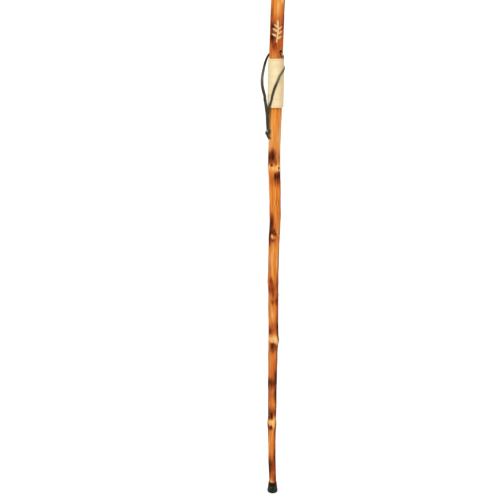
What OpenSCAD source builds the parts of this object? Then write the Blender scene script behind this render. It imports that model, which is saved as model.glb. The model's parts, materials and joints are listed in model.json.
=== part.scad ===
/* [Staff] */
// Height of the whole staff, standing on its ferrule
staff_l = 1400; // [1200:10:1600]
// Diameter of the wood at the head
head_d = 36; // [32:0.5:42]
// Diameter of the wood just above the ferrule
foot_d = 21; // [19:0.2:25]
// Rounding of the head's rim
head_round = 6; // [3:0.5:10]
// Furthest that the natural centreline wanders sideways
sway = 6; // [0:0.5:9]
// Furthest that the natural centreline wanders to front or back
bow = 4; // [0:0.5:8]
// Height of a full swelling at a knot whorl
knot_swell = 1.8; // [0:0.1:2.5]
// Length from the middle of a knot whorl to where its swelling fades
knot_l = 24; // [16:1:34]

/* [Grip] */
// Distance from the middle of the lace hole down to the sleeve's upper edge
grip_gap = 16; // [12:1:30]
// Length of the leather sleeve
grip_l = 125; // [100:1:160]
// Thickness of the leather at the sleeve's upper edge
leather_t = 2.6; // [2:0.1:3.2]
// Height of the turned hem at each end of the sleeve
hem_h = 3.2; // [2.4:0.1:5]
// How far the hem stands proud of the sleeve
hem_proud = 0.3; // [0.1:0.05:0.4]
// Width of the butt seam down the back of the sleeve
seam_w = 0.8; // [0.5:0.1:1.5]
// Diameter of the stitching thread
thread_d = 1.2; // [0.8:0.1:1.6]
// Length of one stitch across the seam
stitch_l = 8; // [6:0.5:10]
// Number of stitches down the seam
stitch_n = 14; // [8:1:18]

/* [Thong] */
// Distance from the head down to the middle of the lace hole
hole_drop = 143; // [130:1:150]
// Diameter of the lace hole
hole_d = 8; // [7:0.5:10]
// Width of the flat leather lace
lace_w = 6; // [5:0.1:6.4]
// Thickness of the flat leather lace
lace_t = 2; // [1.6:0.1:2.2]
// Diameter of the knot at its middle
knot_d = 11; // [10:0.5:12]
// Diameter of the knot where the strands enter and leave it
knot_end_d = 8.8; // [8:0.2:9.6]
// Diameter of the lace's turn round the knot
turn_d = 2.6; // [2:0.1:3]

/* [Ferrule] */
// Height of the rubber ferrule
ferrule_h = 32; // [28:1:40]
// Thickness of the rubber round the socket's mouth
rim_wall = 2; // [1.6:0.1:3]
// How far the foot flares out past the mouth
flare = 2.8; // [2:0.1:5]
// Height of the upright band round the foot
band_h = 6; // [4.5:0.5:8]
// Rounding of the foot's edge
edge_round = 3.2; // [1.5:0.1:4]
// Diameter of a moulded rib round the bell
rib_d = 1.6; // [1:0.1:2.4]
// Thickness of the sole under the washer
sole_t = 5.4; // [4:0.2:8]
// Width of a tread groove in the sole
tread_w = 1.6; // [1:0.1:2]
// Depth of a tread groove in the sole
tread_t = 1.2; // [0.6:0.1:2]
// Thickness of the steel washer in the socket
washer_t = 1.6; // [1:0.1:3]
// Diameter of the hole in the washer
washer_hole_d = 5; // [3:0.5:8]

/* [Hidden] */
$fn = 72;

// Clearances, and one overrun for every cut
fit_gap = 0.2;
press_gap = 0.05;
swing_gap = 0.25;
overrun = 2;

// Step from the wood down to the turned tip, and the wood left bare above the ferrule's mouth
shoulder_step = 0.5;
shoulder_gap = 2;

// Heights and radii that several pieces share
hole_z = staff_l - hole_drop;
grip_high = hole_z - grip_gap;
grip_low = grip_high - grip_l;
head_r = head_d / 2;
foot_r = foot_d / 2;
tip_r = foot_r - shoulder_step;
tip_z = sole_t + washer_t;
shoulder_z = ferrule_h + shoulder_gap;
sleeve_r = head_r + fit_gap + leather_t;

// Facets of the wood: sides of a ring, rings below the rounded head, and rings of the rounding
wood_sides = 24;
wood_rings = 110;
round_steps = 4;

// Below the grip: share of the grip's height, then the wander sideways and to the back
limb_shares = [
    [0.035, 0, 0], [0.075, -0.3, 0.1], [0.12, -0.48, 0.25], [0.17, -0.55, 0.4], [0.22, -0.63, 0.45],
    [0.29, -0.55, 0.3], [0.38, -0.57, 0], [0.42, -0.4, -0.15], [0.47, -0.54, -0.35], [0.53, -0.6, -0.5],
    [0.58, -0.9, -0.55], [0.62, -0.78, -0.4], [0.68, -0.55, -0.1], [0.73, -0.3, 0.2], [0.76, -0.34, 0.3],
    [0.8, -0.5, 0.35], [0.84, -0.8, 0.3], [0.87, -0.93, 0.25], [0.93, -0.92, 0.1]
];
// The stretch through the grip and the lace hole is straight
grip_sway_share = -0.65;
grip_bow_share = 0;
// Above the lace hole: share of the way up to the head, then the two wanders
crown_shares = [[0.3, -0.5, -0.1], [0.65, -0.28, -0.2], [1, 0.05, -0.3]];
// Below the grip: share of the grip's height, then share of the growth from foot to head radius
girth_shares = [
    [0.03, 0], [0.11, 0.02], [0.17, 0.11], [0.23, 0.21], [0.29, 0.24], [0.36, 0.33], [0.45, 0.44],
    [0.53, 0.46], [0.62, 0.55], [0.7, 0.58], [0.76, 0.64], [0.83, 0.73], [0.93, 0.79], [1, 0.88]
];
// Knot whorls: share of the grip's height, bearing of the bulge, share of a full swelling
whorl_shares = [
    [0.088, 200, 0.3], [0.192, 175, 0.9], [0.192, 5, 0.6], [0.305, 230, 0.35], [0.418, 0, 0.85],
    [0.418, 190, 0.35], [0.52, 300, 0.3], [0.576, 180, 0.85], [0.576, 40, 0.3], [0.687, 240, 0.4],
    [0.745, 340, 0.4], [0.855, 318, 0.35], [0.855, 150, 0.35]
];
// The bulge of a whorl is this share on the far side of the wood
far_side_share = 0.1;

// Sides of the lace's section: shares of its half width and half thickness
lace_shares = [
    [1, 0.4], [0.72, 1], [-0.72, 1], [-1, 0.4], [-1, -0.4], [-0.72, -1], [0.72, -1], [1, -0.4]
];
// Steps of the half-round end about which the hanging loop turns, in degrees from its crest
nose_angles = [25, 50, 72, 90];

// Bearing of the lace hole's front mouth, from +X
hole_bearing = -50;
// Routes from the middle of the lace hole on the grip's axis: x, y, z, then the bearing and lift of the
// lace's outer face
left_route = [
    [-11.6, 13.8, 0, 130, 90], [-12.9, 15.35, 0, 130, 82], [-15.2, 17.6, -1.6, 128, 58],
    [-18.2, 19.4, -5.2, 124, 36], [-21, 20, -10, 118, 22], [-24.3, 19.2, -16.4, 112, 12],
    [-27.4, 16.8, -25, 106, 4], [-30, 14.2, -34, 100, 0], [-32.2, 11.6, -44, 94, 0],
    [-34.2, 8.8, -54, 88, 0], [-35.6, 6, -64, 82, 0], [-36, 3, -74, 76, 0],
    [-35.4, 0, -84, 70, 0], [-33.6, -3, -94, 65, 0], [-31, -6, -104, 60, 0],
    [-29, -8.2, -111, 58.2, 0]
];
left_flex = [-28.6, -8.5, -115];
left_fall = [
    [-28.4, -8.7, -119, 58.2, 0], [-27, -9.9, -127, 62, 0], [-25.2, -11.2, -137, 70, 0],
    [-23.6, -12, -147, 80, 0], [-22.2, -12.5, -157, 88, 0], [-21.4, -12.6, -168, 90, 0],
    [-20.9, -12.6, -183, 90, 0], [-20.5, -12.6, -195, 90, 0], [-20.5, -12.6, -198, 90, 0]
];
right_route = [
    [8.7, -10.35, 0, -50, 90], [11.6, -13.8, 0, -50, 88], [12.8, -15, -0.8, -49, 74],
    [13.8, -15.2, -2.6, -47, 50], [15.3, -13.3, -4.8, -41, 26], [17.5, -9.6, -7.4, -29, 8],
    [19.2, -4.6, -9.8, -14, 2], [19.7, 0.6, -11.5, 2, 0], [19.4, 5.6, -12, 16, 0],
    [19.4, 10, -12.2, 27, 0], [18.8, 12.8, -14.4, 34, 0], [18, 13.8, -18.6, 38, 0],
    [17.7, 14.1, -23, 38, 0], [17.8, 13.9, -27.6, 38, 0], [18.5, 12.8, -31.6, 35, 0],
    [20.3, 9.4, -35.2, 25, 0], [21.9, 4.2, -37.8, 11, 0], [22.2, -2, -40.4, -5, 0],
    [20.8, -8, -43.6, -21, 0], [18.2, -12.9, -47.8, -35, 0], [14.5, -17, -53, -50, 0],
    [9.6, -20.2, -60, -65, 0], [5.6, -21.6, -69.6, -76, 0], [1, -22.4, -80, -88, 0],
    [-3.9, -22.1, -91.6, -100, 0], [-7.3, -21.2, -103, -109, 0], [-9.8, -20.1, -111, -117, 0]
];
right_flex = [-10.4, -19.8, -115];
right_fall = [
    [-10.8, -19.6, -119, -121.8, 0], [-13.2, -18.3, -127, -126, 0], [-16, -16.8, -137, -122, 0],
    [-18.4, -15.7, -147, -108, 0], [-20.4, -15.2, -157, -96, 0], [-21.2, -15.2, -168, -90, 0],
    [-20.9, -15.2, -183, -90, 0], [-20.5, -15.2, -195, -90, 0], [-20.5, -15.2, -198, -90, 0]
];
knot_top = [-20.5, -13.9, -198];
knot_foot = [-20.5, -13.9, -211];
front_tail = [
    [-20.5, -15.2, -211, -90, 0], [-20.5, -15.2, -212.5, -90, 0], [-19.4, -15.5, -216, -92, 0],
    [-17.4, -16.2, -219.5, -95, 0], [-15, -16.8, -222.5, -98, 0]
];
back_tail = [
    [-20.5, -12.6, -211, 90, 0], [-20.5, -12.6, -212.5, 90, 0], [-19.8, -12.8, -215.5, 88, 0],
    [-18.4, -13.3, -218.5, 85, 0]
];

// Bearing of the right strand's outer face where the loop flexes, square to the line through the two
// flex points. The left strand's outer face looks the other way, so that the strands meet back to back.
flex_bearing = atan2(right_flex[1] - left_flex[1], right_flex[0] - left_flex[0]) - 90;

// A smooth curve through a table of [place, value, ...] that never passes its own points
function part_at(h, table, i = 0) =
    i >= len(table) - 2 || h < table[i + 1][0] ? i : part_at(h, table, i + 1);
function rise(table, k, i) = (table[i + 1][k] - table[i][k]) / (table[i + 1][0] - table[i][0]);
function steady(a, b) = a * b <= 0 ? 0 : 2 * a * b / (a + b);
function lean(table, k, i) =
    i == 0 || i == len(table) - 1 ? 0 : steady(rise(table, k, i - 1), rise(table, k, i));
function eased(h, table, k) =
    let (
        i = part_at(h, table),
        w = table[i + 1][0] - table[i][0],
        u = min(max((h - table[i][0]) / w, 0), 1),
        v = 1 - u
    )
    table[i][k] * (1 + 2 * u) * v * v + lean(table, k, i) * w * u * v * v
        + table[i + 1][k] * (1 + 2 * v) * u * u - lean(table, k, i + 1) * w * v * u * u;

// Centreline and girth of the wood, as tables of real heights
centre_table = concat(
    [for (s = limb_shares) [s[0] * grip_low, s[1] * sway, s[2] * bow]],
    [
        [grip_low, grip_sway_share * sway, grip_bow_share * bow],
        [hole_z + hole_d, grip_sway_share * sway, grip_bow_share * bow]
    ],
    [for (s = crown_shares) [hole_z + hole_d + s[0] * (hole_drop - hole_d), s[1] * sway, s[2] * bow]]
);
girth_table = concat(
    [for (s = girth_shares) [s[0] * grip_low, foot_r + s[1] * (head_r - foot_r)]],
    [[grip_high, head_r], [staff_l, head_r]]
);
function centre_x(h) = eased(h, centre_table, 1);
function centre_y(h) = eased(h, centre_table, 2);
function girth(h) = eased(h, girth_table, 1);
function lobe(bearing) = far_side_share + (1 - far_side_share) * (1 + cos(bearing)) / 2;
function swelling(h, bearing) =
    knot_swell * sum([
        for (s = whorl_shares) s[2] * lobe(bearing - s[1]) * exp(-pow((h - s[0] * grip_low) / knot_l, 2) * PI)
    ]);
function sum(list, i = 0) = i >= len(list) ? 0 : list[i] + sum(list, i + 1);

// The middle of the lace hole, from which the thong's routes are measured
grip_axis = [grip_sway_share * sway, grip_bow_share * bow, 0];
hole_mid = grip_axis + [0, 0, hole_z];

// A closed skin through equal rings of points
module skin(rings) {
    n = len(rings[0]);
    m = len(rings);
    sides = [
        for (i = [0 : m - 2], k = [0 : n - 1], half = [0, 1])
            let (a = i * n + k, b = i * n + (k + 1) % n)
            half == 0 ? [a, a + n, b] : [b, a + n, b + n]
    ];
    caps = [[for (k = [0 : n - 1]) k], [for (k = [n - 1 : -1 : 0]) (m - 1) * n + k]];
    polyhedron(points = [for (ring = rings) each ring], faces = concat(sides, caps));
}

// One ring of the wood at a height, drawn in by an inset
function wood_ring(h, inset) = [
    for (k = [0 : wood_sides - 1])
        let (a = 360 * k / wood_sides, r = girth(h) + swelling(h, a) - inset)
        [centre_x(h) + r * cos(a), centre_y(h) + r * sin(a), h]
];

// The limb from the shoulder to the rounded head
module limb() {
    round_z = staff_l - head_round;
    rise_step = (round_z - shoulder_z) / wood_rings;
    straight = [for (i = [0 : wood_rings]) wood_ring(shoulder_z + i * rise_step, 0)];
    crown = [
        for (i = [1 : round_steps])
            let (a = 90 * i / round_steps)
            wood_ring(round_z + head_round * sin(a), head_round * (1 - cos(a)))
    ];
    skin(concat(straight, crown));
}

// Natural limb with a turned tip for the ferrule and a drilled lace hole
module shaft() {
    color("#d98a3d")
    difference() {
        union() {
            limb();
            translate([0, 0, tip_z])
            cylinder(r = tip_r, h = shoulder_z + overrun - tip_z);
        }
        translate(hole_mid)
        rotate([0, 90, hole_bearing])
        cylinder(d = hole_d, h = head_d + 2 * overrun, center = true);
    }
}

// Leather sleeve whose bore follows the wood, with a proud hem at each end and an open butt seam behind
module grip_sleeve() {
    bore_steps = 10;
    hem_r = sleeve_r + hem_proud;
    bore = [
        for (i = [bore_steps : -1 : 0])
            let (z = grip_low + grip_l * i / bore_steps)
            [girth(z) + fit_gap, z]
    ];
    low_hem = [
        [sleeve_r - hem_proud, grip_low], [hem_r, grip_low + 2 * hem_proud],
        [hem_r, grip_low + hem_h - hem_proud], [sleeve_r, grip_low + hem_h]
    ];
    high_hem = [
        [sleeve_r, grip_high - hem_h], [hem_r, grip_high - hem_h + hem_proud],
        [hem_r, grip_high - 2 * hem_proud], [sleeve_r - hem_proud, grip_high]
    ];
    color("#ecdcb0")
    difference() {
        translate(grip_axis)
        rotate_extrude()
        polygon(concat(bore, low_hem, high_hem));
        translate(grip_axis + [-seam_w / 2, 0, grip_low - overrun])
        cube([seam_w, sleeve_r + overrun, grip_l + 2 * overrun]);
    }
}

// One stitch: a short length of thread with round ends, laid along X
module stitch() {
    reach = (stitch_l - thread_d) / 2;
    rotate([0, 90, 0])
    cylinder(d = thread_d, h = 2 * reach, center = true);
    for (side = [-1, 1])
        translate([side * reach, 0, 0])
        sphere(d = thread_d);
}

// Herringbone stitches across the sleeve's seam
module grip_stitching() {
    stitch_tilt = 22;
    seat_y = sleeve_r + fit_gap + thread_d / 2;
    pitch = (grip_l - 2 * hem_h) / stitch_n;
    first_z = grip_low + hem_h + pitch / 2;
    color("#cdb78a")
    for (i = [0 : stitch_n - 1])
        translate(grip_axis + [0, seat_y, first_z + pitch * i])
        rotate([0, i % 2 == 0 ? stitch_tilt : -stitch_tilt, 0])
        stitch();
}

// Rubber foot: rounded edge, upright band, flared bell with ribs, rounded mouth, socket and tread
module ferrule() {
    bore_r = tip_r + press_gap;
    rim_r = bore_r + rim_wall;
    base_r = rim_r + flare;
    lip = rim_wall / 2;
    bell_power = 1.4;
    bell_steps = 8;
    rib_shares = [0.08, 0.54];
    rib_sunk_share = 0.2;
    rib_sides = 16;
    tread_shares = [0.42, 0.72];
    function bell_r(u) = rim_r + flare * pow(1 - u, bell_power);
    function bell_z(u) = band_h + u * (ferrule_h - lip - band_h);
    edge = [
        for (a = [0 : 15 : 90])
            [base_r - edge_round * (1 - sin(a)), edge_round * (1 - cos(a))]
    ];
    bell = [for (i = [0 : bell_steps]) [bell_r(i / bell_steps), bell_z(i / bell_steps)]];
    mouth = [for (a = [15 : 15 : 180]) [bore_r + lip + lip * cos(a), ferrule_h - lip + lip * sin(a)]];
    socket = [[bore_r, sole_t], [0, sole_t], [0, 0]];
    color("#24251f")
    difference() {
        union() {
            rotate_extrude()
            polygon(concat(edge, bell, mouth, socket));
            for (u = rib_shares)
                translate([0, 0, bell_z(u)])
                rotate_extrude()
                translate([bell_r(u) - rib_sunk_share * rib_d, 0])
                circle(d = rib_d, $fn = rib_sides);
        }
        for (share = tread_shares)
            translate([0, 0, -overrun])
            difference() {
                cylinder(r = share * base_r + tread_w / 2, h = tread_t + overrun);
                translate([0, 0, -overrun])
                cylinder(r = share * base_r - tread_w / 2, h = tread_t + 3 * overrun);
            }
    }
}

// Steel disc between the wood's end and the rubber sole
module ferrule_washer() {
    color("silver")
    translate([0, 0, sole_t])
    difference() {
        cylinder(r = tip_r, h = washer_t);
        translate([0, 0, -overrun])
        cylinder(d = washer_hole_d, h = washer_t + 2 * overrun);
    }
}

// The lace: one ring of its section at a point, from its direction and the way its outer face looks
function unit(v) = v / norm(v);
function facing(p) = [cos(p[3]) * cos(p[4]), sin(p[3]) * cos(p[4]), sin(p[4])];
function spot(p) = [p[0], p[1], p[2]];
function heading(route, i) =
    unit(spot(route[min(i + 1, len(route) - 1)]) - spot(route[max(i - 1, 0)]));
function lace_ring(at, along, face, thin = 1) =
    let (across = unit(cross(along, face)), out = cross(across, along))
    [for (s = lace_shares) at + across * s[0] * lace_w / 2 + out * s[1] * thin * lace_t / 2];
function lace_rings(route) = [
    for (i = [0 : len(route) - 1]) lace_ring(spot(route[i]), heading(route, i), facing(route[i]))
];

// Where a strand flexes: the fixed half ends square just above the line, the hanging half is half round
down = [0, 0, -1];
right_face = [cos(flex_bearing), sin(flex_bearing), 0];
left_face = -right_face;
function flex_end(flex, face) = [lace_ring(flex - down * (lace_t / 2 + swing_gap), down, face)];
function flex_nose(flex, face) = [
    for (a = nose_angles) lace_ring(flex - down * cos(a) * lace_t / 2, down, face, sin(a))
];

module lace(rings) {
    color("#3a3324")
    translate(hole_mid)
    skin(rings);
}

// The lace inside the hole, from the back mouth to just short of the front one
module thong_in_hole() {
    lace(lace_rings([left_route[0], right_route[0]]));
}

// The strand from the back mouth, down the left side to where it flexes
module thong_left_upper() {
    lace(concat(lace_rings(left_route), flex_end(left_flex, left_face)));
}

// The strand from the front mouth, round the right side and across the front to where it flexes
module thong_right_upper() {
    lace(concat(lace_rings(right_route), flex_end(right_flex, right_face)));
}

// The hanging halves, which meet and run side by side into the knot
module thong_left_lower() {
    lace(concat(flex_nose(left_flex, left_face), lace_rings(left_fall)));
}

module thong_right_lower() {
    lace(concat(flex_nose(right_flex, right_face), lace_rings(right_fall)));
}

// Overhand knot: a drawn-up barrel with the lace's last turn lying slantwise round it
module thong_knot() {
    knot_h = knot_top[2] - knot_foot[2];
    turn_tilt = 24;
    turn_sunk_share = 0.25;
    bulge_steps = 8;
    swell = (knot_d - knot_end_d) / 2;
    side = [
        for (i = [0 : bulge_steps])
            [knot_end_d / 2 + swell * sin(180 * i / bulge_steps), knot_h * i / bulge_steps]
    ];
    color("#4a4230")
    translate(hole_mid + knot_foot) {
        rotate_extrude()
        polygon(concat([[0, 0]], side, [[0, knot_h]]));
        translate([0, 0, knot_h / 2])
        rotate([0, turn_tilt, 0])
        rotate_extrude()
        translate([knot_d / 2 - turn_sunk_share * turn_d, 0])
        circle(d = turn_d);
    }
}

// The two loose ends below the knot
module thong_tails() {
    lace(lace_rings(front_tail));
    lace(lace_rings(back_tail));
}

shaft();
grip_sleeve();
grip_stitching();
ferrule();
ferrule_washer();
thong_in_hole();
thong_left_upper();
thong_right_upper();
thong_left_lower();
thong_right_lower();
thong_knot();
thong_tails();
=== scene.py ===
# %% [markdown]
# # A flame-scorched hiking staff
# The staff is one natural limb, stripped of its bark, scorched round its knots and varnished. A cream
# leather sleeve gives the hand a hold, a dark leather thong runs through a hole above the sleeve, and a
# rubber ferrule grips the ground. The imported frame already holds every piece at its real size, so this
# lesson only gives each one its surface, and leaves it where the frame has it.

# %% Load the frame
import json
import math

import bmesh
import bpy
import numpy as np
from mathutils import Matrix, Vector


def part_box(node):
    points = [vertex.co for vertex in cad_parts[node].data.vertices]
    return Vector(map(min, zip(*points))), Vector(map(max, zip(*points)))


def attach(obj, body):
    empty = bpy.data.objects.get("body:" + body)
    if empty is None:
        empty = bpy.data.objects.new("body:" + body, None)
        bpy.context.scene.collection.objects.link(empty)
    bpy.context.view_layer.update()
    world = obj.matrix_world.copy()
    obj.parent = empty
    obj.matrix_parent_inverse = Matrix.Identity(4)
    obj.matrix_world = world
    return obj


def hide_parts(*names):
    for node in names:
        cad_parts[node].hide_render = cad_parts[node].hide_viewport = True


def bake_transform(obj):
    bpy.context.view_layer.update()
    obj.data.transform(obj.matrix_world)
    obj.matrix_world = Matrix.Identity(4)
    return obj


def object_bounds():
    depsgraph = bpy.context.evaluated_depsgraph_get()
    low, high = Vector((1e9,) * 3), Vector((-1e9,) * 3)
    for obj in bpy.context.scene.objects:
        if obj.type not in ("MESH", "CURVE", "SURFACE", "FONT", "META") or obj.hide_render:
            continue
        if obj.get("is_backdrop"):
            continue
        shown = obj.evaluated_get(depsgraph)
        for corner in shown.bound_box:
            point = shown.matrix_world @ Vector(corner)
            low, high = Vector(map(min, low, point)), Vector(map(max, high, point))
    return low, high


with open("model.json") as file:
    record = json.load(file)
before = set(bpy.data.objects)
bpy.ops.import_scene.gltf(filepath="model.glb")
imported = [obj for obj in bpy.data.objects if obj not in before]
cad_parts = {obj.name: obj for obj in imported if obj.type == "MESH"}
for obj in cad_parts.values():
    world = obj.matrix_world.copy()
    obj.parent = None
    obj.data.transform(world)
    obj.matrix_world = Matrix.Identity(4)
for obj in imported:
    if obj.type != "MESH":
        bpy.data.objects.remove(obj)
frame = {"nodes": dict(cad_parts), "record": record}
cad_low, cad_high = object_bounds()
scene = bpy.context.scene
MM = 0.001
print("frame:", len(frame["nodes"]), "nodes,", round(cad_high.z - cad_low.z, 3), "m tall")

# %% [markdown]
# ## The camera
# The sleeve's edges look straight and the ferrule's rim dips towards us, so the eye was level with the
# grip and looked down a little. A camera that is placed by its real height and distance keeps that
# perspective. A small roll leans the staff to the right by as much as the photograph does.

# %% Camera at grip height
EYE = Vector((-0.0694, -2.2, 1.25))
TILT_DOWN = math.radians(13.311)
ROLL = math.radians(0.266)
LENS_MM = 59.37

camera_data = bpy.data.cameras.new("camera")
camera_data.lens = LENS_MM
camera = bpy.data.objects.new("camera", camera_data)
upright = Matrix.Rotation(math.pi / 2 - TILT_DOWN, 4, "X")
camera.matrix_world = Matrix.Translation(EYE) @ upright @ Matrix.Rotation(ROLL, 4, "Z")
scene.collection.objects.link(camera)
scene.camera = camera
scene.view_settings.view_transform = "Standard"
print("camera:", LENS_MM, "mm lens,", round(EYE.z, 2), "m above the floor")

# %% [markdown]
# ## Small helpers
# A colour is picked from the real thing as an sRGB hex value, but shaders count light, so one function
# turns hex to linear. Two more link or set a node's sockets, and add a node with its settings. The next
# turns a finished bmesh into an object whose shading breaks only at sharp edges, and sorts its points,
# because operators can hand them over in another order at the next run. The last draws one smooth curve
# through a table of values, which serves both for the limb and for the lace.

# %% Helpers
def srgb(code):
    """Linear RGBA of an sRGB hex colour."""
    parts = [int(code[i:i + 2], 16) / 255 for i in (1, 3, 5)]
    return [c / 12.92 if c <= 0.04045 else ((c + 0.055) / 1.055) ** 2.4 for c in parts] + [1.0]


def wire(tree, node, sockets):
    """Links outputs to a node's sockets, and sets the sockets that are given a plain value."""
    for socket, source in sockets.items():
        if isinstance(source, bpy.types.NodeSocket):
            tree.links.new(source, node.inputs[socket])
        else:
            node.inputs[socket].default_value = source


def add(tree, kind, sockets=None, **settings):
    """One new shader node: settings by property or socket name, sockets by name or number."""
    node = tree.nodes.new("ShaderNode" + kind)
    for name, value in settings.items():
        if hasattr(node, name):
            setattr(node, name, value)
        else:
            node.inputs[name.replace("_", " ").title()].default_value = value
    wire(tree, node, sockets or {})
    return node


def finish_piece(bm, name, sharp_degrees=40):
    """A linked object from a bmesh, smooth but for its sharp edges, with its points in a fixed order."""
    orders = [(bm.verts, lambda vert: tuple(vert.co)),
              (bm.faces, lambda face: sorted(vert.index for vert in face.verts))]
    for items, key in orders:
        rank = {item: place for place, item in enumerate(sorted(items, key=key))}
        items.sort(key=rank.get)
        items.index_update()
    mesh = bpy.data.meshes.new(name)
    bm.to_mesh(mesh)
    bm.free()
    mesh.shade_smooth()
    mesh.set_sharp_from_angle(angle=math.radians(sharp_degrees))
    piece = bpy.data.objects.new(name, mesh)
    scene.collection.objects.link(piece)
    return piece


def through(places, values, query):
    """Values of a smooth curve that passes through a table, at the places asked for."""
    slopes = np.gradient(values, places, axis=0)
    i = np.clip(np.searchsorted(places, query, side="right") - 1, 0, len(places) - 2)
    span = (places[i + 1] - places[i])[:, None]
    t = (query - places[i])[:, None] / span
    start = values[i] * (1 + 2 * t) + slopes[i] * span * t
    end = values[i + 1] * (3 - 2 * t) - slopes[i + 1] * span * (1 - t)
    return start * (1 - t) ** 2 + end * t ** 2


print("helpers ready")

# %% [markdown]
# ## The lace's route
# The thong is one flat leather lace. It comes out of the hole at the back left and at the front right,
# and its two strands meet below the sleeve. The route's points are the same ones as in the model's
# source: millimetres from the hole's middle, then the bearing and the lift of the outer face.

# %% Route of the lace
grip_place = next(m["pos_m"] for m in frame["record"]["mounts"] if m["name"] == "grip")
hole_low, hole_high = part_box("thong_in_hole")
HOLE_MIDDLE = np.array((grip_place[0], grip_place[1], (hole_low.z + hole_high.z) / 2))
LACE_WIDTH = 6.7 * MM
LACE_THICK = 2 * MM
RING_STEP = 1.2 * MM

LEFT_ROUTE = [
    (0, 0, 0, 130, 90), (-6, 7.1, 0, 130, 90),
    (-11.6, 13.8, 0, 130, 90), (-12.9, 15.35, 0, 130, 82), (-15.2, 17.6, -1.6, 128, 58),
    (-18.2, 19.4, -5.2, 124, 36), (-21, 20, -10, 118, 22), (-24.3, 19.2, -16.4, 112, 12),
    (-27.4, 16.8, -25, 106, 4), (-30, 14.2, -34, 100, 0), (-32.2, 11.6, -44, 94, 0),
    (-34.2, 8.8, -54, 88, 0), (-35.6, 6, -64, 82, 0), (-36, 3, -74, 76, 0),
    (-35.4, 0, -84, 70, 0), (-33.6, -3, -94, 65, 0), (-31, -6, -104, 60, 0),
    (-29, -8.2, -111, 58.2, 0), (-28.6, -8.5, -115, 58.2, 0), (-28.4, -8.7, -119, 58.2, 0),
    (-27, -9.9, -127, 62, 0), (-25.2, -11.2, -137, 70, 0), (-23.6, -12, -147, 80, 0),
    (-22.2, -12.5, -157, 88, 0), (-21.4, -12.6, -168, 90, 0), (-20.9, -12.6, -183, 90, 0),
    (-20.5, -12.6, -195, 90, 0), (-20.5, -12.6, -198, 90, 0), (-20.5, -12.6, -211, 90, 0),
    (-20.5, -12.6, -212.5, 90, 0), (-19.8, -12.8, -215.5, 88, 0), (-18.4, -13.3, -218.5, 85, 0),
]
RIGHT_ROUTE = [
    (0, 0, 0, -50, 90), (8.7, -10.35, 0, -50, 90),
    (11.6, -13.8, 0, -50, 88), (12.8, -15, -0.8, -49, 74), (13.8, -15.2, -2.6, -47, 50),
    (15.3, -13.3, -4.8, -41, 26), (17.5, -9.6, -7.4, -29, 8), (19.2, -4.6, -9.8, -14, 2),
    (19.7, 0.6, -11.5, 2, 0), (19.4, 5.6, -12, 16, 0), (19.4, 10, -12.2, 27, 0),
    (18.8, 12.8, -14.4, 34, 0), (18, 13.8, -18.6, 38, 0), (17.7, 14.1, -23, 38, 0),
    (17.8, 13.9, -27.6, 38, 0), (18.5, 12.8, -31.6, 35, 0), (20.3, 9.4, -35.2, 25, 0),
    (21.9, 4.2, -37.8, 11, 0), (22.2, -2, -40.4, -5, 0), (20.8, -8, -43.6, -21, 0),
    (18.2, -12.9, -47.8, -35, 0), (14.5, -17, -53, -50, 0), (9.6, -20.2, -60, -65, 0),
    (5.6, -21.6, -69.6, -76, 0), (1, -22.4, -80, -88, 0), (-3.9, -22.1, -91.6, -100, 0),
    (-7.3, -21.2, -103, -109, 0), (-9.8, -20.1, -111, -117, 0), (-10.4, -19.8, -115, -121.8, 0),
    (-10.8, -19.6, -119, -121.8, 0), (-13.2, -18.3, -127, -126, 0), (-16, -16.8, -137, -122, 0),
    (-18.4, -15.7, -147, -108, 0), (-20.4, -15.2, -157, -96, 0), (-21.2, -15.2, -168, -90, 0),
    (-20.9, -15.2, -183, -90, 0), (-20.5, -15.2, -195, -90, 0), (-20.5, -15.2, -198, -90, 0),
    (-20.5, -15.2, -211, -90, 0), (-20.5, -15.2, -212.5, -90, 0), (-19.4, -15.5, -216, -92, 0),
    (-17.4, -16.2, -219.5, -95, 0), (-15, -16.8, -222.5, -98, 0),
]
print("route:", len(LEFT_ROUTE), "points on the left,", len(RIGHT_ROUTE), "on the right")

# %% [markdown]
# A strand is swept as a saddler would draw it: one flattened section, extruded a little at a time, and
# turned at each step so that its outer face looks the way the route says. A curve with a bevel would
# twist by itself, so the frames are built here.

# %% Sweep a flat lace along frames
SECTION_SIDES = 16
# Powers below 1 square a circle off into a strip with rounded edges
ACROSS_POWER, THROUGH_POWER = 0.55, 0.7


def only(geometry, kind):
    """The verts, or the edges, among what an operator made."""
    return [g for g in geometry if isinstance(g, kind)]


def smooth_route(route, step):
    """Centres and outer-face directions along a route, about one step apart."""
    table = np.array(route, float)
    centres = table[:, :3] * MM + HOLE_MIDDLE
    places = np.concatenate([[0], np.cumsum(np.linalg.norm(np.diff(centres, axis=0), axis=1))])
    query = np.linspace(0, places[-1], round(places[-1] / step) + 1)
    path = through(places, centres, query)
    bearing, lift = np.radians(through(places, table[:, 3:], query)).T
    faces = np.stack([np.cos(bearing) * np.cos(lift), np.sin(bearing) * np.cos(lift), np.sin(lift)], 1)
    return path, faces


def frames_along(path, faces):
    """A matrix at each centre: X across the lace, Y out of its outer face, Z along it."""
    found = []
    for centre, along, face in zip(path, np.gradient(path, axis=0), faces):
        along = Vector(along).normalized()
        across = along.cross(Vector(face)).normalized()
        out = across.cross(along)
        turned = Matrix((across, out, along)).transposed().to_4x4()
        found.append(Matrix.Translation(Vector(centre)) @ turned)
    return found


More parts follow.
